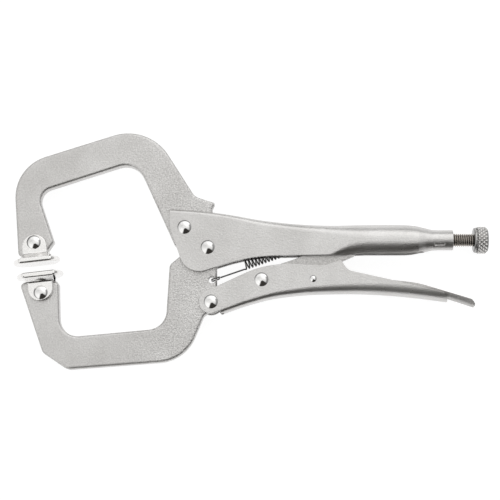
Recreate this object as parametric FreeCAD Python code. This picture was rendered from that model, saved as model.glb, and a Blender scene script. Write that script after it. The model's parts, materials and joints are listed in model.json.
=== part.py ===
import FreeCAD, Part
import math
import os
from collections import namedtuple

# Locking C-clamp pliers with swivel pads, in millimetres.
# The tool lies on its side: X runs from the pads to the adjusting knob, Y from the lower grip
# to the upper handle, Z through the thickness. Every shape is drawn about the tool's middle
# plane, Z = 0, and is lifted by MID_Z when it is written, so that the tool lies on Z = 0.

Vector = FreeCAD.Vector
X_AXIS = Vector(1, 0, 0)
Y_AXIS = Vector(0, 1, 0)
Z_AXIS = Vector(0, 0, 1)

MID_Z = 10.0
OUTSIDE = 60.0
OVERRUN = 1.0
FLAT = 1e-4

# Pivots and holes in the tool's plane
JAW_PIVOT = (-24.8, 1.3)
FRONT_RIVET = (-38.5, 13.2)
LEVER_PIVOT = (-22.8, -30.8)
LINK_PIVOT = (6.7, -17.8)
LINK_NOSE = (61.0, 6.2)
RELEASE_PIVOT = (36.9, -17.4)
SPRING_HOLE = (-22.3, -17.7)
SPRING_ANCHOR = (42.5, 4.7)
UPPER_PAD_PIVOT = (-126.8, 4.1)
LOWER_PAD_PIVOT = (-122.2, -25.4)
SCREW_Y = 6.2

# Stock and clearances
JAW_THICK = 8.0
JAW_EDGE = 1.7
TONGUE_THICK = 4.0
SHEET = 2.0
RELEASE_SHEET = 1.5
SECTION_STEP = 4.5
LINK_THICK = 7.2
HANDLE_HALF = 6.2
PLATE_GAP = 8.4
RUNNING = 0.05
SEATED = 0.01
FORK_PLAY = 0.1
HEAD_GAP = 0.02

# Rivets
RIVET_SHANK = 3.0
RIVET_HEAD = 4.1
RIVET_RISE = 1.5
PIN_SHANK = 1.6
PIN_HEAD = 2.0
PIN_RISE = 0.8
PIN_GRIP = 6.35

# Jaw joint
FORK_RADIUS = 10.0
FORK_RELIEF = 10.4
LEVER_EYE = 6.3
BOSS_RADIUS = 7.0
WEB_START_X = -15.3
FOLD_START_X = -21.4
SPRING_HOLE_RADIUS = 2.1

# Tube, neck and screw
SLOT_HALF = 4.6
SLOT_START_X = 46.0
SLOT_END_X = 98.0
SLOT_TOP_Y = 0.0
SLOT_BOTTOM_Y = -6.0
NECK_START_X = 104.0
NECK_END_X = 119.5
NECK_BORE = 4.05
SCREW_RADIUS = 3.9
SCREW_CHAMFER = 0.4
TIP_RADIUS = 3.0
TIP_START_X = 70.4
TIP_END_X = 75.0
TIP_CHAMFER = 0.6
KNOB_START_X = 131.8
KNOB_END_X = 140.0
KNOB_RADIUS = 8.0
KNOB_CHAMFER = 0.9
KNOB_SOCKET = 6.0
CRIMP_X = 109.3
CRIMP_ANGLE = -30.0
CRIMP_LENGTH = 5.0
CRIMP_RADIUS = 2.0
CRIMP_DEPTH = 0.35

# Toggle link, measured along and across the line from its pivot to its nose
LINK_EYE = 5.5
NOSE_RADIUS = 4.9
LINK_TOP = 3.3
LINK_HEEL = 8.8

# Swivel pads: heights are measured from the rivet towards the working face
PAD_FACE = 12.1
PAD_PLATE = 3.0
PAD_RADIUS = 13.7
PAD_HALF_Z = 10.0
PAD_FLANGE_HALF = 8.1
PAD_RAMP_TOP = 6.3
PAD_RAMP_FOOT = 9.3
PAD_EAR_HALF = 7.3
PAD_EAR_CENTRE = 2.4
PAD_EAR_INNER = 4.3
PAD_EAR_OUTER = 6.3
PAD_TILT = 6.5
PAD_EDGE = 1.2
EAR_EDGE = 0.7

# Spring
COIL_RADIUS = 3.0
WIRE_RADIUS = 0.5
LEG_RADIUS = 0.45
COIL_WALL = 1.0
COIL_START = 21.0
COIL_END = 58.0
COIL_LIFT = 2.2
HOOK_GAP = 0.3
EYE_HALF = 0.5
EYE_BEND = 0.9
HOOK_REACH = 4.6
TAIL_REACH = 3.2
TAB_HALF = 0.75
TAB_LENGTH = 4.4
TAB_HOLE = 0.9
TAB_DROP = 1.8
TAB_ROOT_Y = 13.4

# Lengths that follow from the others
PLATE_GRIP = HANDLE_HALF + HEAD_GAP
PAD_GRIP = PAD_EAR_OUTER + HEAD_GAP
ROD_START_X = TIP_END_X + HEAD_GAP
ROD_END_X = KNOB_START_X + KNOB_SOCKET

Section = namedtuple("Section", "x top bottom half top_radius bottom_radius")


def rounded_wire(corners):
    """A closed wire of straight runs and tangent arcs, from corners given as (x, y, radius)."""
    points = [Vector(x, y, 0) for x, y, _ in corners]
    starts = []
    ends = []
    middles = []
    count = len(corners)
    for i in range(count):
        corner = points[i]
        radius = corners[i][2]
        to_last = (points[i - 1] - corner).normalize()
        to_next = (points[(i + 1) % count] - corner).normalize()
        half_angle = to_last.getAngle(to_next) / 2
        reach = radius / math.tan(half_angle)
        starts.append(corner + to_last * reach)
        ends.append(corner + to_next * reach)
        inward = (to_last + to_next).normalize()
        middles.append(corner + inward * (radius / math.sin(half_angle) - radius))
    edges = []
    for i in range(count):
        if corners[i][2] > 0:
            edges.append(Part.Arc(starts[i], middles[i], ends[i]).toShape())
        edges.append(Part.LineSegment(ends[i], starts[(i + 1) % count]).toShape())
    return Part.Wire(edges)


def slab(corners, low, high):
    """The outline's area, from height low to height high."""
    face = Part.Face(rounded_wire(corners))
    face.translate(Vector(0, 0, low))
    return face.extrude(Vector(0, 0, high - low))


def post(centre, radius, low, high):
    """A round bar along Z."""
    return Part.makeCylinder(radius, high - low, Vector(centre[0], centre[1], low))


def block(x_low, x_high, y_low, y_high, half_z):
    """A box that is symmetric about the middle plane."""
    corner = Vector(x_low, y_low, -half_z)
    return Part.makeBox(x_high - x_low, y_high - y_low, 2 * half_z, corner)


def soften(shape, radius, wanted):
    """Round the edges for which wanted(edge) is true."""
    edges = [edge for edge in shape.Edges if wanted(edge)]
    return shape.makeFillet(radius, edges)


def on_flat_face(edge, half_z):
    """True for an edge that lies in one of the two faces at Z = +-half_z."""
    box = edge.BoundBox
    flat = box.ZLength < FLAT
    return flat and abs(abs(box.ZMax) - half_z) < FLAT


def rivet(centre, shank, head, rise, grip):
    """A shank with a low domed head on each side; grip is half the distance between the heads."""
    dome = (head * head + rise * rise) / (2 * rise)
    profile = [Vector(0, 0, 0), Vector(shank, 0, 0), Vector(shank, 0, grip), Vector(head, 0, grip)]
    edges = [Part.LineSegment(a, b).toShape() for a, b in zip(profile, profile[1:])]
    angle = math.asin(head / dome) / 2
    bend = Vector(dome * math.sin(angle), 0, grip + rise - dome * (1 - math.cos(angle)))
    crown = Vector(0, 0, grip + rise)
    edges.append(Part.Arc(profile[-1], bend, crown).toShape())
    edges.append(Part.LineSegment(crown, profile[0]).toShape())
    upper = Part.Face(Part.Wire(edges)).revolve(Vector(0, 0, 0), Z_AXIS, 360)
    lower = upper.mirror(Vector(0, 0, 0), Z_AXIS)
    solid = upper.fuse(lower).removeSplitter()
    solid.translate(Vector(centre[0], centre[1], 0))
    return solid


def section_wire(section, inset, top_inset, bottom_inset):
    """A rounded rectangle across X, drawn inside the section by the given insets."""
    half = section.half - inset
    top = section.top - top_inset
    bottom = section.bottom + bottom_inset
    smallest = 0.2
    upper = max(section.top_radius - inset, smallest)
    lower = max(section.bottom_radius - inset, smallest)
    diagonal = math.sqrt(0.5)

    def at(z, y):
        return Vector(section.x, y, z)

    def arc(z, y, radius, side_z, side_y, first_is_side):
        side = at(z + side_z * radius, y)
        middle = at(z + side_z * radius * diagonal, y + side_y * radius * diagonal)
        end = at(z, y + side_y * radius)
        if first_is_side:
            return Part.Arc(side, middle, end).toShape()
        return Part.Arc(end, middle, side).toShape()

    def line(a, b):
        return Part.LineSegment(a, b).toShape()

    edges = [
        line(at(half, bottom + lower), at(half, top - upper)),
        arc(half - upper, top - upper, upper, 1, 1, True),
        line(at(half - upper, top), at(upper - half, top)),
        arc(upper - half, top - upper, upper, -1, 1, False),
        line(at(-half, top - upper), at(-half, bottom + lower)),
        arc(lower - half, bottom + lower, lower, -1, -1, True),
        line(at(lower - half, bottom), at(half - lower, bottom)),
        arc(half - lower, bottom + lower, lower, 1, -1, False),
    ]
    return Part.Wire(edges)


def slopes(places, values):
    """Slopes for a smooth curve through the values that never swings past them."""
    steps = [(values[i + 1] - values[i]) / (places[i + 1] - places[i])
             for i in range(len(values) - 1)]
    middle = [0.0 if a * b <= 0 else 2 * a * b / (a + b) for a, b in zip(steps, steps[1:])]
    return [steps[0]] + middle + [steps[-1]]


def refined(sections):
    """The sections with smoothly blended ones between them, about SECTION_STEP apart."""
    places = [section.x for section in sections]
    columns = list(zip(*sections))[1:]
    tangents = [slopes(places, column) for column in columns]
    result = []
    for i in range(len(sections) - 1):
        span = places[i + 1] - places[i]
        count = max(1, round(span / SECTION_STEP))
        for k in range(count):
            t = k / count
            blend = []
            for column, tangent in zip(columns, tangents):
                start = column[i] * (2 * t**3 - 3 * t**2 + 1)
                end = column[i + 1] * (3 * t**2 - 2 * t**3)
                leave = tangent[i] * span * (t**3 - 2 * t**2 + t)
                arrive = tangent[i + 1] * span * (t**3 - t**2)
                blend.append(start + end + leave + arrive)
            result.append(Section(places[i] + t * span, *blend))
    return result + [sections[-1]]


def shell(sections, sheet, top_open, bottom_open):
    """A sheet-metal channel or tube lofted through the sections, open where it is said to be."""
    top_inset = -OVERRUN if top_open else sheet
    bottom_inset = -OVERRUN if bottom_open else sheet
    fine = refined(sections)
    outer = Part.makeLoft([section_wire(s, 0, 0, 0) for s in fine], True, True)
    first = fine[0]._replace(x=fine[0].x - OVERRUN)
    last = fine[-1]._replace(x=fine[-1].x + OVERRUN)
    stretched = [first] + fine[1:-1] + [last]
    inner_wires = [section_wire(s, sheet, top_inset, bottom_inset) for s in stretched]
    return outer.cut(Part.makeLoft(inner_wires, True, True))


def upper_jaw():
    """Fixed C jaw. Its tail is a fork around the pivot and lies between the handle's plates."""
    half = JAW_THICK / 2
    outline = [
        (-136.2, -3.6, 2.4),
        (-138.7, 30.2, 0),
        (-139.1, 50.2, 24.9),
        (-60.2, 75.5, 28.5),
        (-32.5, 31.9, 7.1),
        (-20.4, 28.0, 1.2),
        (-22.1, 24.2, 0),
        (-22.1, 3.0, 0),
        (-35.0, 0.5, 0),
        (-44.3, 2.8, 0),
        (-67.2, 53.0, 11.9),
        (-125.5, 34.0, 7.8),
        (-115.2, 4.6, 1.0),
        (-120.3, -2.8, 0),
        (-127.0, -4.5, 6.0),
    ]
    jaw = slab(outline, -half, half)
    jaw = soften(jaw, JAW_EDGE, lambda edge: on_flat_face(edge, half))
    jaw = jaw.fuse(post(JAW_PIVOT, FORK_RADIUS, -half, half))
    slot = TONGUE_THICK / 2 + FORK_PLAY
    jaw = jaw.cut(post(JAW_PIVOT, FORK_RELIEF, -slot, slot))
    for hole in (JAW_PIVOT, FRONT_RIVET):
        jaw = jaw.cut(post(hole, RIVET_SHANK + SEATED, -half, half))
    return jaw.cut(post(UPPER_PAD_PIVOT, RIVET_SHANK + RUNNING, -half, half))


def lower_jaw():
    """Moving C jaw. Its tongue turns in the upper jaw's fork, and the grip hangs on its eye."""
    half = JAW_THICK / 2
    outline = [
        (-113.3, -18.7, 0),
        (-112.0, -20.5, 0),
        (-110.7, -51.7, 10.5),
        (-49.4, -46.0, 11.3),
        (-47.3, -8.8, 4.2),
        (-39.5, -2.3, 0),
        (-25.0, 0.0, 0),
        (-19.3, -2.6, 0),
        (-19.3, -29.0, 0),
        (-21.2, -34.6, 0),
        (-27.0, -39.4, 3.6),
        (-37.8, -65.1, 24.3),
        (-106.2, -70.3, 7.1),
        (-120.9, -60.4, 5.9),
        (-134.9, -20.5, 2.4),
        (-131.4, -18.9, 0),
        (-122.0, -16.6, 0),
    ]
    jaw = slab(outline, -half, half)
    jaw = soften(jaw, JAW_EDGE, lambda edge: on_flat_face(edge, half))
    tongue = TONGUE_THICK / 2
    for side in (-1, 1):
        low, high = sorted((side * tongue, side * (half + OVERRUN)))
        jaw = jaw.cut(post(JAW_PIVOT, FORK_RELIEF, low, high))
    jaw = jaw.fuse(post(JAW_PIVOT, FORK_RADIUS, -tongue, tongue))
    jaw = jaw.fuse(post(LEVER_PIVOT, LEVER_EYE, -half, half))
    for hole in (JAW_PIVOT, LEVER_PIVOT, LOWER_PAD_PIVOT):
        jaw = jaw.cut(post(hole, RIVET_SHANK + RUNNING, -half, half))
    return jaw.cut(post(SPRING_HOLE, SPRING_HOLE_RADIUS, -half, half)).removeSplitter()


def fixed_handle():
    """Upper handle: one pressed sheet, flat-sided in front, curled into a slotted tube behind."""
    sections = [
        Section(-52.0, 24.4, -24.0, HANDLE_HALF, 2.2, 0.4),
        Section(-29.5, 23.0, -20.0, HANDLE_HALF, 2.4, 0.4),
        Section(-12.0, 20.8, -17.0, HANDLE_HALF, 2.8, 0.4),
        Section(6.0, 17.7, -14.0, HANDLE_HALF, 3.4, 0.4),
        Section(23.6, 15.7, -11.0, HANDLE_HALF, 4.1, 0.6),
        Section(38.0, 14.8, -8.0, 6.5, 4.8, 1.4),
        Section(49.0, 14.6, -5.2, 7.5, 6.2, 3.8),
        Section(58.0, 14.9, -3.4, 8.6, 8.0, 6.4),
        Section(68.0, 15.2, -2.85, 9.1, 9.0, 7.5),
        Section(80.0, 15.3, -2.85, 9.1, 9.0, 7.5),
        Section(92.0, 15.1, -2.85, 9.0, 8.9, 7.5),
        Section(99.0, 14.3, -2.2, 8.3, 7.9, 7.4),
        Section(103.3, 13.3, -0.9, 7.1, 7.0, 7.0),
        Section(107.5, 12.3, 0.1, 6.1, 6.0, 6.0),
        Section(111.0, 12.15, 0.25, 5.95, 5.85, 5.85),
        Section(NECK_END_X, 12.15, 0.25, 5.95, 5.85, 5.85),
    ]
    body = shell(sections, SHEET, False, False)
    side = [
        (-47.4, 26.0, 0),
        (-47.4, 13.7, 15.0),
        (-37.1, -15.9, 11.8),
        (0.6, -3.9, 109.0),
        (52.0, -3.15, 0),
        (60.0, -3.6, 0),
        (130.0, -3.6, 0),
        (130.0, 26.0, 0),
    ]
    body = body.common(slab(side, -MID_Z, MID_Z))
    gap = PLATE_GAP / 2
    body = body.cut(block(FOLD_START_X - OUTSIDE, FOLD_START_X, -OUTSIDE, OUTSIDE, gap))
    slot = block(SLOT_START_X, SLOT_END_X, SLOT_BOTTOM_Y, SLOT_TOP_Y, SLOT_HALF)
    end_foot = Vector(SLOT_END_X, SLOT_BOTTOM_Y, 0)
    slot_end = Part.makeCylinder(SLOT_HALF, SLOT_TOP_Y - SLOT_BOTTOM_Y, end_foot, Y_AXIS)
    body = body.cut(slot.fuse(slot_end))
    bore_start = Vector(NECK_START_X, SCREW_Y, 0)
    body = body.cut(Part.makeCylinder(NECK_BORE, OUTSIDE, bore_start, X_AXIS))
    crimp_reach = sections[-1].half + CRIMP_RADIUS - CRIMP_DEPTH
    crimp_angle = math.radians(CRIMP_ANGLE)
    crimp_y = SCREW_Y + crimp_reach * math.sin(crimp_angle)
    crimp = Vector(CRIMP_X, crimp_y, crimp_reach * math.cos(crimp_angle))
    groove = Part.makeCylinder(CRIMP_RADIUS, CRIMP_LENGTH, crimp, X_AXIS)
    body = body.cut(groove.fuse(Part.makeSphere(CRIMP_RADIUS, crimp)))
    for hole in (JAW_PIVOT, FRONT_RIVET):
        body = body.cut(post(hole, RIVET_SHANK + SEATED, -MID_Z, MID_Z))
    left = SPRING_ANCHOR[0] - TAB_LENGTH / 2
    tab = block(left, left + TAB_LENGTH, SPRING_ANCHOR[1] - TAB_DROP, TAB_ROOT_Y, TAB_HALF)
    tab = tab.cut(post(SPRING_ANCHOR, TAB_HOLE, -TAB_HALF, TAB_HALF))
    return body.fuse(tab)


def lower_handle():
    """Moving grip: a channel open towards the upper handle, with an eared front end."""
    top = -3.0
    edge = 0.4
    sections = [
        Section(-33.0, top, -43.8, HANDLE_HALF, edge, 2.4),
        Section(-15.3, top, -37.2, HANDLE_HALF, edge, 2.6),
        Section(0.0, top, -32.0, HANDLE_HALF, edge, 3.0),
        Section(17.7, top, -27.9, HANDLE_HALF, edge, 3.6),
        Section(41.3, top, -26.0, 6.3, edge, 4.8),
        Section(59.0, top, -25.8, 6.6, edge, 5.6),
        Section(76.7, top, -26.4, 7.1, edge, 6.2),
        Section(94.4, top, -27.9, 7.5, edge, 6.4),
        Section(112.1, top, -30.1, 7.6, edge, 6.6),
        Section(120.0, top, -31.2, 7.6, edge, 6.6),
    ]
    body = shell(sections, SHEET, True, False)
    side = [
        (-26.5, -25.0, 0),
        (5.9, -9.9, 58.0),
        (22.0, -8.4, 60.0),
        (43.0, -9.7, 15.0),
        (53.2, -6.4, 0.8),
        (57.3, -12.3, 6.0),
        (84.0, -18.4, 200.0),
        (113.6, -25.6, 3.4),
        (115.6, -30.4, 1.6),
        (114.6, -32.5, 0),
        (-14.6, -39.6, 0),
        (-18.3, -35.6, 0),
        (-26.0, -35.0, 0),
    ]
    keep = slab(side, -MID_Z, MID_Z)
    keep = keep.fuse(post(LEVER_PIVOT, BOSS_RADIUS, -MID_Z, MID_Z))
    body = body.common(keep)
    body = body.cut(block(WEB_START_X - OUTSIDE, WEB_START_X, -OUTSIDE, 0, PLATE_GAP / 2))
    for hole in (LEVER_PIVOT, LINK_PIVOT):
        body = body.cut(post(hole, RIVET_SHANK + SEATED, -MID_Z, MID_Z))
    return body.cut(post(RELEASE_PIVOT, PIN_SHANK + SEATED, -MID_Z, MID_Z))


def toggle_link():
    """Strut from the grip to the adjusting screw; its heel is what the release lever pushes."""
    length = math.dist(LINK_PIVOT, LINK_NOSE)
    half = LINK_THICK / 2
    outline = [
        (0.0, LINK_EYE, 0),
        (23.0, LINK_TOP, 30.0),
        (length - 7.0, LINK_TOP, 10.0),
        (length, NOSE_RADIUS, 0),
        (length, -NOSE_RADIUS, 0),
        (length - 2.6, -LINK_HEEL, 3.0),
        (38.0, -LINK_HEEL, 20.0),
        (0.0, -LINK_EYE, 0),
    ]
    link = slab(outline, -half, half)
    link = link.fuse(post((0, 0), LINK_EYE, -half, half))
    link = link.fuse(post((length, 0), NOSE_RADIUS, -half, half)).removeSplitter()
    link = link.cut(post((0, 0), RIVET_SHANK + RUNNING, -half, half))
    slope = math.atan2(LINK_NOSE[1] - LINK_PIVOT[1], LINK_NOSE[0] - LINK_PIVOT[0])
    link.rotate(Vector(0, 0, 0), Z_AXIS, math.degrees(slope))
    link.translate(Vector(LINK_PIVOT[0], LINK_PIVOT[1], 0))
    return link


def release_lever():
    """Long trough inside the grip; its hump meets the link's heel, its tail passes the grip."""
    top = 0.0
    edge = 0.4
    sections = [
        Section(28.0, top, -21.4, 4.0, edge, 2.2),
        Section(40.0, top, -22.2, 4.0, edge, 2.2),
        Section(55.0, top, -22.7, 4.0, edge, 2.2),
        Section(70.0, top, -22.9, 4.2, edge, 2.6),
        Section(88.5, top, -24.4, 4.7, edge, 3.4),
        Section(103.0, top, -26.0, 5.1, edge, 4.2),
        Section(112.0, top, -27.4, 5.2, edge, 4.6),
        Section(118.0, top, -29.4, 5.2, edge, 4.8),
        Section(126.0, top, -32.0, 5.2, edge, 5.0),
        Section(134.0, top, -34.7, 5.2, edge, 5.0),
    ]
    body = shell(sections, RELEASE_SHEET, True, False)
    side = [
        (30.5, -20.0, 2.0),
        (31.8, -16.0, 1.5),
        (41.0, -13.1, 8.0),
        (49.5, -11.1, 4.0),
        (56.0, -14.6, 8.0),
        (78.0, -17.3, 60.0),
        (98.0, -19.6, 60.0),
        (129.8, -29.2, 2.4),
        (132.0, -32.4, 1.6),
        (130.2, -34.6, 0),
        (127.0, -42.0, 0),
        (33.0, -30.0, 0),
    ]
    body = body.common(slab(side, -MID_Z, MID_Z))
    return body.cut(post(RELEASE_PIVOT, PIN_SHANK + RUNNING, -MID_Z, MID_Z))


def swivel_pad(pivot, face_side):
    """Round-ended pad with two riveted ears. face_side is -1 for the upper pad, 1 for the lower."""
    plate_in = PAD_FACE - PAD_PLATE
    bend = [
        (PAD_HALF_Z, PAD_FACE, 1.8),
        (PAD_HALF_Z, PAD_RAMP_FOOT, 1.0),
        (PAD_EAR_OUTER, PAD_RAMP_TOP, 1.4),
        (PAD_EAR_OUTER, -PAD_EAR_HALF, 0),
        (PAD_EAR_INNER, -PAD_EAR_HALF, 0),
        (PAD_EAR_INNER, PAD_RAMP_TOP + SHEET / 2, 0.6),
        (PAD_HALF_Z - SHEET - PAD_EDGE, plate_in, 0),
    ]
    mirrored = [(-z, y, radius) for z, y, radius in reversed(bend)]
    strip = slab(bend + mirrored, -PAD_FLANGE_HALF, PAD_FLANGE_HALF)
    strip.rotate(Vector(0, 0, 0), Y_AXIS, 90)
    ear = post((0, PAD_EAR_CENTRE), PAD_EAR_HALF, -MID_Z, MID_Z)
    ear = ear.fuse(block(-PAD_EAR_HALF, PAD_EAR_HALF, PAD_EAR_CENTRE, PAD_FACE, PAD_HALF_Z))
    foot = block(-PAD_FLANGE_HALF, PAD_FLANGE_HALF, PAD_RAMP_TOP, PAD_FACE, PAD_HALF_Z)
    strip = strip.common(ear.fuse(foot))
    strip = soften(strip, EAR_EDGE, lambda edge: on_flat_face(edge, PAD_EAR_OUTER)
                   and edge.BoundBox.YMin < 0)
    disc = Part.makeCylinder(PAD_RADIUS, PAD_PLATE, Vector(0, plate_in, 0), Y_AXIS)
    disc = soften(disc, PAD_EDGE, lambda edge: edge.BoundBox.YLength < FLAT)
    disc = disc.common(block(-PAD_RADIUS, PAD_RADIUS, 0, PAD_FACE + OVERRUN, PAD_HALF_Z))
    face_low = PAD_FACE - PAD_EDGE / 2
    disc = soften(disc, PAD_EDGE, lambda edge: on_flat_face(edge, PAD_HALF_Z)
                  and edge.BoundBox.YMin > face_low)
    pad = strip.fuse(disc).removeSplitter()
    pad = pad.cut(post((0, 0), RIVET_SHANK + SEATED, -MID_Z, MID_Z))
    if face_side < 0:
        pad = pad.mirror(Vector(0, 0, 0), Y_AXIS)
    pad.rotate(Vector(0, 0, 0), Z_AXIS, PAD_TILT)
    pad.translate(Vector(pivot[0], pivot[1], 0))
    return pad


def wire_run(start, end):
    """Straight round spring wire from one point to another."""
    return Part.makeCylinder(LEG_RADIUS, (end - start).Length, start, end - start)


def wire_eye(centre, heading, reach, plate_half):
    """A long flat eye around a plate: it goes through the hole and closes past the plate's edge."""
    height = plate_half + HOOK_GAP + WIRE_RADIUS

    def rim(grow, radius):
        corners = [(-grow, -height - grow), (reach + grow, -height - grow),
                   (reach + grow, height + grow), (-grow, height + grow)]
        return slab([(x, z, radius) for x, z in corners], -EYE_HALF, EYE_HALF)

    eye = rim(WIRE_RADIUS, EYE_BEND).cut(rim(-WIRE_RADIUS, EYE_BEND - WIRE_RADIUS))
    eye.rotate(Vector(0, 0, 0), X_AXIS, 90)
    eye.rotate(Vector(0, 0, 0), Z_AXIS, heading)
    eye.translate(centre)
    return eye


def tension_spring():
    """The coil's outer form, with the straight wire legs and the eyes that hook its two ends."""
    start = Vector(SPRING_HOLE[0], SPRING_HOLE[1], 0)
    end = Vector(SPRING_ANCHOR[0], SPRING_ANCHOR[1], 0)
    along = (end - start).normalize()
    coil_foot = start + along * COIL_START + Z_AXIS.cross(along) * COIL_LIFT
    coil = Part.makeCylinder(COIL_RADIUS, COIL_END - COIL_START, coil_foot, along)
    hollow = Part.makeCylinder(COIL_RADIUS - COIL_WALL, COIL_END - COIL_START - 2 * COIL_WALL,
                               coil_foot + along * COIL_WALL, along)
    leg = wire_run(start + along * HOOK_REACH, start + along * (COIL_START + COIL_WALL / 2))
    tail = wire_run(start + along * (COIL_END - COIL_WALL / 2), end - along * TAIL_REACH)
    heading = math.degrees(math.atan2(along.y, along.x))
    hook = wire_eye(start, heading, HOOK_REACH, JAW_THICK / 2)
    anchor = wire_eye(end, heading + 180, TAIL_REACH, TAB_HALF)
    return coil.cut(hollow).fuse([leg, tail, hook, anchor])


def round_bar(x_low, x_high, radius, chamfer):
    """A turned bar on the screw's axis, with both ends chamfered."""
    bar = Part.makeCylinder(radius, x_high - x_low, Vector(x_low, SCREW_Y, 0), X_AXIS)
    ends = [edge for edge in bar.Edges if edge.BoundBox.XLength < FLAT]
    return bar.makeChamfer(chamfer, ends)


def knurled_knob():
    knob = round_bar(KNOB_START_X, KNOB_END_X, KNOB_RADIUS, KNOB_CHAMFER)
    socket = Part.makeCylinder(SCREW_RADIUS, KNOB_SOCKET, Vector(KNOB_START_X, SCREW_Y, 0), X_AXIS)
    return knob.cut(socket)


def write(name, shape):
    """Lift the shape onto the surface it lies on, check it and write it to its own file."""
    lifted = shape.copy()
    lifted.translate(Vector(0, 0, MID_Z))
    if not lifted.isValid():
        print(name, "is not valid")
    print(name, len(lifted.Solids), round(lifted.Volume, 1))
    lifted.exportStep("parts/" + name + ".step")


os.makedirs("parts", exist_ok=True)
write("upper_jaw", upper_jaw())
write("lower_jaw", lower_jaw())
write("fixed_handle", fixed_handle())
write("lower_handle", lower_handle())
write("toggle_link", toggle_link())
write("release_lever", release_lever())
write("upper_pad", swivel_pad(UPPER_PAD_PIVOT, -1))
write("lower_pad", swivel_pad(LOWER_PAD_PIVOT, 1))
write("tension_spring", tension_spring())
write("screw_tip", round_bar(TIP_START_X, TIP_END_X, TIP_RADIUS, TIP_CHAMFER))
write("adjusting_screw", round_bar(ROD_START_X, ROD_END_X, SCREW_RADIUS, SCREW_CHAMFER))
write("knurled_knob", knurled_knob())
for rivet_name, rivet_centre, rivet_grip in (
    ("front_jaw_rivet", FRONT_RIVET, PLATE_GRIP),
    ("jaw_pivot_rivet", JAW_PIVOT, PLATE_GRIP),
    ("lever_rivet", LEVER_PIVOT, PLATE_GRIP),
    ("link_rivet", LINK_PIVOT, PLATE_GRIP),
    ("upper_pad_rivet", UPPER_PAD_PIVOT, PAD_GRIP),
    ("lower_pad_rivet", LOWER_PAD_PIVOT, PAD_GRIP),
):
    write(rivet_name, rivet(rivet_centre, RIVET_SHANK, RIVET_HEAD, RIVET_RISE, rivet_grip))
write("release_pin", rivet(RELEASE_PIVOT, PIN_SHANK, PIN_HEAD, PIN_RISE, PIN_GRIP))
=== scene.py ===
import json
import math

import bpy
from mathutils import Matrix, Vector


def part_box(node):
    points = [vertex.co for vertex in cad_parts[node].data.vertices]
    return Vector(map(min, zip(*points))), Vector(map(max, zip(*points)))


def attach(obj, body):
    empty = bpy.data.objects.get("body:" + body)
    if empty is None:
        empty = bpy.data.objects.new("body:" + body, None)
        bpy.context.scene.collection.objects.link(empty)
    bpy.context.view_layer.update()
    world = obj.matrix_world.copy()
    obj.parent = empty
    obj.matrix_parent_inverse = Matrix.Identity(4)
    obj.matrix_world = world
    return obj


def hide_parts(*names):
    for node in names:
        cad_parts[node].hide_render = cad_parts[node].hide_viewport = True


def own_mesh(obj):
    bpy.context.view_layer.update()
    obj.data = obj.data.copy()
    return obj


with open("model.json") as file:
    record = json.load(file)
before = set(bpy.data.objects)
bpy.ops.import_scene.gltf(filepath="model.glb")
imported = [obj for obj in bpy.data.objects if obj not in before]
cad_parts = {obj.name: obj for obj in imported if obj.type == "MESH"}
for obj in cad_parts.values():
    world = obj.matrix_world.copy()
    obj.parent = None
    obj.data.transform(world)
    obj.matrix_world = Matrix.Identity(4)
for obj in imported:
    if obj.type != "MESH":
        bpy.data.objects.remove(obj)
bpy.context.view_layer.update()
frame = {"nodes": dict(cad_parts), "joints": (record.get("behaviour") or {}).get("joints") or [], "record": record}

# Locking C-clamp pliers on a pale floor. Lengths are in metres, in the CAD model's frame.

MM = 0.001

NODES = frame["nodes"]
JOINTS = {joint["name"]: joint for joint in frame["joints"]}
MIDDLE_Z = JOINTS["jaw_open"]["pos_m"][2]
SCREW_Y = JOINTS["knob_turn"]["pos_m"][1]


# ---------------------------------------------------------------- node helpers

class Graph:
    """Short ways to add and link the nodes of one material or world."""

    def __init__(self, tree):
        self.tree = tree

    def add(self, kind, **values):
        node = self.tree.nodes.new(kind)
        for name, value in values.items():
            setattr(node, name, value)
        return node

    def link(self, source, target):
        self.tree.links.new(source, target)

    def noise(self, vector, scale, detail=2.0, roughness=0.5):
        node = self.add("ShaderNodeTexNoise")
        self.link(vector, node.inputs["Vector"])
        node.inputs["Scale"].default_value = scale
        node.inputs["Detail"].default_value = detail
        node.inputs["Roughness"].default_value = roughness
        return node.outputs["Fac"]

    def ramp(self, fac, low, high, low_value, high_value):
        node = self.add("ShaderNodeMapRange")
        node.clamp = True
        self.link(fac, node.inputs["Value"])
        for name, value in (("From Min", low), ("From Max", high),
                            ("To Min", low_value), ("To Max", high_value)):
            node.inputs[name].default_value = value
        return node.outputs["Result"]

    def mix(self, fac, first, second):
        node = self.add("ShaderNodeMix", data_type="RGBA")
        self.feed(fac, node.inputs[0])
        self.feed(first, node.inputs[6])
        self.feed(second, node.inputs[7])
        return node.outputs[2]

    def math(self, operation, first, second=0.0):
        node = self.add("ShaderNodeMath", operation=operation)
        self.feed(first, node.inputs[0])
        self.feed(second, node.inputs[1])
        return node.outputs[0]

    def feed(self, value, target):
        if isinstance(value, bpy.types.NodeSocket):
            self.link(value, target)
        else:
            target.default_value = value


def shade(grey, warmth=0.0):
    """A nearly neutral colour; warmth lifts red and lowers blue."""
    return (grey * (1 + warmth), grey, grey * (1 - warmth), 1.0)


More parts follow.
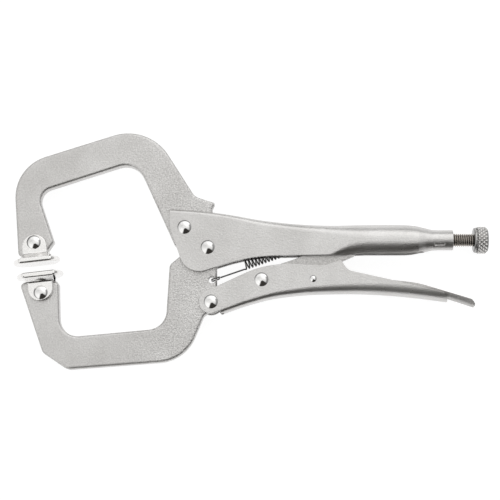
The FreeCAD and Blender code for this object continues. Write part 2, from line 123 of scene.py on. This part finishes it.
def metal(name, light, dark, roughness, grain, grain_depth, contrast, edge_radius=0.0, coarse=None,
          groove_shade=None):
    """Plated steel: blotchy tone, a blasted grain in colour, gloss and bump, and softened edges.

    coarse is (low x, high x, extra): the grain grows extra times stronger from the one to the other,
    and grain_depth is its depth at the strong end.
    The last argument is (low radius, high radius, darkest): painted shade, the colour darkening towards the
    bottoms of grooves cut round the screw's axis.
    """
    material = bpy.data.materials.new(name)
    material.use_nodes = True
    tree = material.node_tree
    tree.nodes.clear()
    graph = Graph(tree)
    place = graph.add("ShaderNodeTexCoord").outputs["Object"]
    cloud = graph.noise(place, 45.0, 3.0)
    speck = graph.noise(place, grain, 2.0, 0.6)
    tone = graph.mix(graph.ramp(cloud, 0.3, 0.7, 0.0, 1.0), dark, light)
    grey = graph.ramp(speck, 0.32, 0.68, -contrast, contrast)
    strength = 1.0
    if coarse is not None:
        low_x, high_x, extra = coarse
        split = graph.add("ShaderNodeSeparateXYZ")
        graph.link(place, split.inputs["Vector"])
        amount = graph.ramp(split.outputs["X"], low_x, high_x, 1.0, extra)
        grey = graph.math("MULTIPLY", grey, amount)
        strength = graph.math("MULTIPLY", amount, 1.0 / extra)
    lifted = graph.math("ADD", grey, 1.0)
    # Painted shade: the colour is darkened by distance from the screw's axis, so the thread and knurl grooves look
    # shaded.
    if groove_shade is not None:
        bottom, top, darkest = groove_shade
        around = graph.add("ShaderNodeSeparateXYZ")
        graph.link(place, around.inputs["Vector"])
        sideways = graph.math("SUBTRACT", around.outputs["Y"], SCREW_Y)
        upwards = graph.math("SUBTRACT", around.outputs["Z"], MIDDLE_Z)
        squares = graph.math("ADD", graph.math("POWER", sideways, 2.0), graph.math("POWER", upwards, 2.0))
        radius = graph.math("SQRT", squares)
        lifted = graph.math("MULTIPLY", lifted, graph.ramp(radius, bottom, top, darkest, 1.0))
    scale = graph.add("ShaderNodeVectorMath", operation="SCALE")
    graph.link(tone, scale.inputs[0])
    graph.link(lifted, scale.inputs["Scale"])
    shader = graph.add("ShaderNodeBsdfPrincipled")
    graph.link(scale.outputs["Vector"], shader.inputs["Base Color"])
    shader.inputs["Metallic"].default_value = 1.0
    graph.link(graph.ramp(speck, 0.3, 0.7, roughness + 0.05, roughness - 0.05), shader.inputs["Roughness"])
    bump = graph.add("ShaderNodeBump")
    bump.inputs["Distance"].default_value = grain_depth
    graph.feed(strength, bump.inputs["Strength"])
    graph.link(speck, bump.inputs["Height"])
    if edge_radius > 0:
        edge = graph.add("ShaderNodeBevel")
        edge.samples = 6
        edge.inputs["Radius"].default_value = edge_radius
        graph.link(edge.outputs["Normal"], bump.inputs["Normal"])
    graph.link(bump.outputs["Normal"], shader.inputs["Normal"])
    output = graph.add("ShaderNodeOutputMaterial")
    graph.link(shader.outputs["BSDF"], output.inputs["Surface"])
    return material


MATERIALS = {
    "jaw_steel": metal("forged_nickel", shade(0.63, 0.014), shade(0.54, 0.020), 0.40, 1150.0, 3.2e-4, 0.10,
                       edge_radius=2.5e-4, coarse=(-0.080, -0.030, 2.4)),
    "handle_steel": metal("pressed_nickel", shade(0.64, 0.014), shade(0.55, 0.018), 0.32, 1100.0, 1.6e-4,
                          0.06, edge_radius=4.0e-4),
    "link_steel": metal("inner_steel", shade(0.54, 0.02), shade(0.44, 0.02), 0.38, 1200.0, 1.6e-4, 0.16,
                        edge_radius=3.0e-4),
    "pad_steel": metal("bright_plate", shade(0.84, 0.012), shade(0.76, 0.016), 0.16, 1200.0, 1.2e-5, 0.05,
                       edge_radius=2.0e-4),
    "rivet_steel": metal("rivet_polish", shade(0.80, 0.006), shade(0.70, 0.010), 0.07, 1400.0, 1.0e-5, 0.04),
    # The thread material carries painted shade in its grooves.
    "screw_steel": metal("thread_steel", shade(0.60, 0.06), shade(0.48, 0.09), 0.26, 1500.0, 2.0e-5, 0.08,
                         groove_shade=(0.0033, 0.0038, 0.22)),
    # The knob material carries painted shade in its knurl grooves.
    "knob_steel": metal("knurl_plate", shade(0.84, 0.014), shade(0.74, 0.02), 0.20, 1800.0, 2.0e-5, 0.06,
                        groove_shade=(0.0071, 0.0078, 0.25)),
    "spring_steel": metal("spring_wire", shade(0.20, 0.02), shade(0.13, 0.02), 0.30, 2500.0, 1.0e-5, 0.06),
}

SLOT_OF = {entry["node"]: entry["material_slot"] for entry in frame["record"]["subparts"]}


def finish_piece(piece, slot):
    piece.data.materials.clear()
    piece.data.materials.append(MATERIALS[slot])


for name, node in NODES.items():
    finish_piece(node, SLOT_OF[name])


# ---------------------------------------------------------------- mesh helpers

def piece_from(name, vertices, faces, body, slot, replaced=()):
    """A smooth-shaded mesh piece that rides on a body."""
    mesh = bpy.data.meshes.new(name)
    mesh.from_pydata([tuple(v) for v in vertices], [], faces)
    mesh.validate()
    mesh.update()
    piece = bpy.data.objects.new(name, mesh)
    bpy.context.scene.collection.objects.link(piece)
    mesh.shade_smooth()
    finish_piece(piece, slot)
    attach(piece, body)
    if replaced:
        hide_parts(*replaced)
    return piece


def wire(points, radius, sides=12):
    """Vertices and faces of a round wire along the points, with flat closed ends."""
    vertices = []
    faces = []
    count = len(points)
    normal = None
    for i, point in enumerate(points):
        ahead = points[min(i + 1, count - 1)] - points[max(i - 1, 0)]
        tangent = ahead.normalized()
        if normal is None:
            normal = tangent.orthogonal().normalized()
        normal = (normal - tangent * normal.dot(tangent)).normalized()
        side = tangent.cross(normal)
        for k in range(sides):
            angle = 2 * math.pi * k / sides
            vertices.append(point + (normal * math.cos(angle) + side * math.sin(angle)) * radius)
    for i in range(count - 1):
        for k in range(sides):
            after = (k + 1) % sides
            faces.append((i * sides + k, i * sides + after, (i + 1) * sides + after, (i + 1) * sides + k))
    faces.append(tuple(range(sides - 1, -1, -1)))
    faces.append(tuple((count - 1) * sides + k for k in range(sides)))
    return vertices, faces


# ---------------------------------------------------------------- tension spring

def tension_spring():
    """A wound coil between two eyes: a long one through the lower jaw, a short one at the tab."""
    low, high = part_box("tension_spring")
    # CAD coordinates of the spring's two ends; the anchor is the record's anchor_m.
    hole = Vector((-0.0223, -0.0177, MIDDLE_Z))
    anchor = Vector((0.0425, 0.0047, MIDDLE_Z))
    wire_radius = 0.45 * MM
    coil_radius = 2.5 * MM
    coil_start = 21.2 * MM
    coil_end = 57.8 * MM
    coil_lift = 2.2 * MM
    turns = 18
    steps = 24
    bend = 0.9 * MM
    clearance = 0.05 * MM
    leg_front_gap = 3.0 * MM
    leg_back_gap = 1.2 * MM
    mouth_share = 0.12
    hook_reach = 4.5 * MM
    hook_height = (high.z - low.z) / 2 - wire_radius - clearance
    tail_reach = 3.1 * MM
    tail_height = 1.5 * MM
    along = (anchor - hole).normalized()
    lift = Vector((0, 0, 1)).cross(along)

    def eye(origin, heading, reach, height):
        """A long loop about the plate, as corner points (out, up) rounded by the bend."""
        corners = [(reach, -height * mouth_share), (reach, -height + bend), (reach - bend, -height),
                   (bend, -height), (0, -height + bend), (0, height - bend), (bend, height),
                   (reach - bend, height), (reach, height - bend), (reach + bend, 0)]
        return smooth_path([origin + heading * out + Vector((0, 0, up)) for out, up in corners])

    def on_coil(turn):
        angle = 2 * math.pi * turn - math.pi / 2
        centre = hole + along * (coil_start + (coil_end - coil_start) * turn / turns)
        ring = lift * (coil_lift + coil_radius * math.sin(angle))
        return centre + ring + Vector((0, 0, coil_radius * math.cos(angle)))

    hook = eye(hole, along, hook_reach, hook_height)
    leg = [hole + along * (hook_reach + leg_front_gap), hole + along * (coil_start - leg_back_gap)]
    coil = [on_coil(k / steps) for k in range(turns * steps + 1)]
    tail = eye(anchor, -along, tail_reach, tail_height)[::-1]
    vertices, faces = wire(hook + leg + coil + tail, wire_radius)
    spring = piece_from("spring_coil", vertices, faces, "root", "spring_steel", ["tension_spring"])
    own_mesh(spring)


def smooth_path(points, steps=6):
    """Catmull-Rom points through the given ones."""
    result = []
    for i in range(len(points) - 1):
        before = points[max(i - 1, 0)]
        first = points[i]
        second = points[i + 1]
        after = points[min(i + 2, len(points) - 1)]
        for k in range(steps):
            t = k / steps
            result.append(0.5 * ((2 * first) + (second - before) * t
                                 + (2 * before - 5 * first + 4 * second - after) * t * t
                                 + (3 * first - before - 3 * second + after) * t ** 3))
    return result + [points[-1]]


tension_spring()


# ---------------------------------------------------------------- adjusting screw

def revolved_grid(rings, segments):
    """Faces of a closed tube of rings, each a list of `segments` vertices, with end caps."""
    faces = []
    for i in range(rings - 1):
        for k in range(segments):
            after = (k + 1) % segments
            here = i * segments
            beyond = here + segments
            faces.append((here + k, beyond + k, beyond + after, here + after))
    faces.append(tuple(range(segments)))
    faces.append(tuple((rings - 1) * segments + k for k in range(segments - 1, -1, -1)))
    return faces


def adjusting_screw():
    """The rod with a real helical thread of the M8 pitch along its whole length."""
    low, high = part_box("adjusting_screw")
    centre_y = (low.y + high.y) / 2
    outer = (high.y - low.y) / 2
    pitch = 1.25 * MM
    depth = 0.68 * MM
    chamfer = 0.8 * MM
    crest_share = 0.14
    flank_share = 0.72
    segments = 48
    per_pitch = 12
    length = high.x - low.x
    rings = round(length / pitch * per_pitch)
    vertices = []
    for i in range(rings + 1):
        x = low.x + length * i / rings
        inset = max(0.0, chamfer - min(x - low.x, high.x - x))
        for k in range(segments):
            phase = (x / pitch - k / segments) % 1.0
            groove = max(0.0, min(1.0, (abs(phase - 0.5) * 2 - crest_share) / flank_share))
            radius = min(outer - depth * groove, outer - inset)
            angle = 2 * math.pi * k / segments
            vertices.append((x, centre_y + radius * math.cos(angle), MIDDLE_Z + radius * math.sin(angle)))
    return piece_from("screw_thread", vertices, revolved_grid(rings + 1, segments), "screw_rod",
                      "screw_steel", ["adjusting_screw"])


def knurled_knob():
    """The knob: a plain rounded collar in front, then a band of crossed helical grooves."""
    low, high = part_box("knurled_knob")
    centre_y = (low.y + high.y) / 2
    outer = (high.y - low.y) / 2
    collar = 2.0 * MM
    rim = 0.9 * MM
    depth = 0.85 * MM
    teeth = 20
    segments = teeth * 8
    length = high.x - low.x
    rings = 60
    edge_rings = 6
    fade_rings = 4
    front_bevel = 1.5 * MM
    collar_inset = 0.6 * MM
    helix_share = 0.9
    flank_slope = 1.5
    band_inset = 0.45 * MM
    face_radius = 4.6 * MM
    face_dip = 0.25 * MM
    vertices = []
    rows = 0

    def ring(x, radius_at):
        for k in range(segments):
            angle = 2 * math.pi * k / segments
            radius = radius_at(k / segments)
            vertices.append((x, centre_y + radius * math.cos(angle), MIDDLE_Z + radius * math.sin(angle)))

    def rounded(t, start_radius, end_radius):
        return start_radius + (end_radius - start_radius) * math.sin(t * math.pi / 2)

    twist = length / (2 * math.pi * outer) * teeth * helix_share
    for i in range(edge_rings + 1):
        t = i / edge_rings
        x = low.x + rim * (1 - math.cos(t * math.pi / 2))
        ring(x, lambda share, r=rounded(t, outer - front_bevel, outer - collar_inset): r)
        rows += 1
    for i in range(rings + 1):
        x = low.x + collar + (length - collar - rim) * i / rings
        edge = min(1.0, i / fade_rings, (rings - i) / fade_rings)

        def knurl(share, x=x, edge=edge):
            along = (x - low.x) / length * twist
            first = abs(((share * teeth + along) % 1.0) - 0.5) * 2
            second = abs(((share * teeth - along) % 1.0) - 0.5) * 2
            height = min(first, second)
            return outer - band_inset * (1 - edge) - depth * (1 - min(1.0, height * flank_slope))

        ring(x, knurl)
        rows += 1
    for i in range(1, edge_rings + 1):
        t = i / edge_rings
        x = high.x - rim * (1 - t)
        ring(x, lambda share, r=outer - band_inset - rim * t: r)
        rows += 1
    ring(high.x - face_dip, lambda share: face_radius)
    rows += 1
    return piece_from("knob_knurl", vertices, revolved_grid(rows, segments), "screw_rod",
                      "knob_steel", ["knurled_knob"])


adjusting_screw()
knurled_knob()


# ---------------------------------------------------------------- stage

def floor():
    mesh = bpy.data.meshes.new("floor")
    reach = 4.0
    mesh.from_pydata([(-reach, -reach, 0), (reach, -reach, 0), (reach, reach, 0), (-reach, reach, 0)],
                     [], [(0, 1, 2, 3)])
    plane = bpy.data.objects.new("floor", mesh)
    bpy.context.scene.collection.objects.link(plane)
    material = bpy.data.materials.new("floor_paper")
    material.use_nodes = True
    shader = material.node_tree.nodes["Principled BSDF"]
    shader.inputs["Base Color"].default_value = (0.20, 0.20, 0.20, 1)
    shader.inputs["Roughness"].default_value = 0.9
    shader.inputs["Emission Color"].default_value = (1, 1, 1, 1)
    shader.inputs["Emission Strength"].default_value = 0.90
    mesh.materials.append(material)
    plane.location.z = -0.0002


def area_light(name, place, target, width, height, power):
    data = bpy.data.lights.new(name, "AREA")
    data.shape = "RECTANGLE"
    data.size = width
    data.size_y = height
    data.energy = power
    lamp = bpy.data.objects.new(name, data)
    lamp.location = place
    lamp.rotation_euler = (Vector(target) - Vector(place)).to_track_quat("-Z", "Y").to_euler()
    bpy.context.scene.collection.objects.link(lamp)


def surroundings():
    """A pale studio. It is brighter towards the back, and a dark flag stands low on the front side."""
    world = bpy.data.worlds.new("studio")
    bpy.context.scene.world = world
    world.use_nodes = True
    tree = world.node_tree
    tree.nodes.clear()
    graph = Graph(tree)
    direction = graph.add("ShaderNodeTexCoord").outputs["Generated"]
    parts = graph.add("ShaderNodeSeparateXYZ")
    graph.link(direction, parts.inputs["Vector"])
    x, y, z = (parts.outputs[axis] for axis in "XYZ")
    frontness = graph.math("MULTIPLY", y, -1.0)
    azimuth = graph.math("ARCTAN2", x, frontness)
    polar = graph.math("ARCCOSINE", z)
    flag_side = graph.math("ABSOLUTE", graph.math("SUBTRACT", azimuth, math.radians(20.0)))
    inside = graph.ramp(flag_side, math.radians(46.0), math.radians(34.0), 0.0, 1.0)
    below = graph.ramp(polar, math.radians(8.0), math.radians(15.0), 0.0, 1.0)
    above = graph.ramp(polar, math.radians(86.0), math.radians(80.0), 0.0, 1.0)
    dark = graph.math("MULTIPLY", graph.math("MULTIPLY", inside, below), above)
    right_side = graph.math("ABSOLUTE", graph.math("SUBTRACT", azimuth, math.radians(92.0)))
    beside = graph.ramp(right_side, math.radians(44.0), math.radians(28.0), 0.0, 1.0)
    low_down = graph.ramp(polar, math.radians(46.0), math.radians(58.0), 0.0, 1.0)
    dim = graph.math("MULTIPLY", graph.math("MULTIPLY", beside, low_down), 0.75)
    rim = graph.ramp(polar, math.radians(66.0), math.radians(77.0), 0.0, 0.88)
    shadowed = graph.math("MAXIMUM", dim, rim)
    back = graph.ramp(y, 0.0, 0.75, 0.0, 1.0)
    pale = graph.mix(back, (1.02, 1.02, 1.01, 1), (1.26, 1.26, 1.25, 1))
    tipped = graph.ramp(polar, math.radians(12.0), math.radians(34.0), 0.0, 0.26)
    quarter = graph.math("SINE", graph.math("MULTIPLY", azimuth, -2.0))
    swing = graph.math("ADD", graph.math("MULTIPLY", quarter, tipped), 1.0)
    varied = graph.add("ShaderNodeVectorMath", operation="SCALE")
    graph.link(pale, varied.inputs[0])
    graph.link(swing, varied.inputs["Scale"])
    walls = graph.mix(shadowed, varied.outputs["Vector"], (0.10, 0.10, 0.10, 1))
    colour = graph.mix(dark, walls, (0.045, 0.042, 0.038, 1))
    background = graph.add("ShaderNodeBackground")
    graph.link(colour, background.inputs["Color"])
    background.inputs["Strength"].default_value = 1.0
    output = graph.add("ShaderNodeOutputWorld")
    graph.link(background.outputs["Background"], output.inputs["Surface"])


def camera():
    """Looks down on the flat tool, leaning a little towards the grip side."""
    lean = math.radians(8.0)
    distance = 0.900
    seen_width = 0.295
    target = Vector((0.0, 0.0004, MIDDLE_Z))
    back = Vector((0.0, -math.sin(lean), math.cos(lean)))
    up = Vector((0.0, math.cos(lean), math.sin(lean)))
    side = up.cross(back)
    data = bpy.data.cameras.new("camera")
    data.sensor_width = 36.0
    data.lens = data.sensor_width * distance / seen_width
    eye = bpy.data.objects.new("camera", data)
    eye.matrix_world = Matrix((side, up, back)).transposed().to_4x4()
    eye.location = target + back * distance
    bpy.context.scene.collection.objects.link(eye)
    bpy.context.scene.camera = eye


floor()
surroundings()
area_light("back_softbox", (0.0, 1.15, 0.80), (0.0, 0.0, 0.0), 2.4, 1.2, 1.5)
camera()
bpy.context.scene.view_settings.view_transform = "Standard"
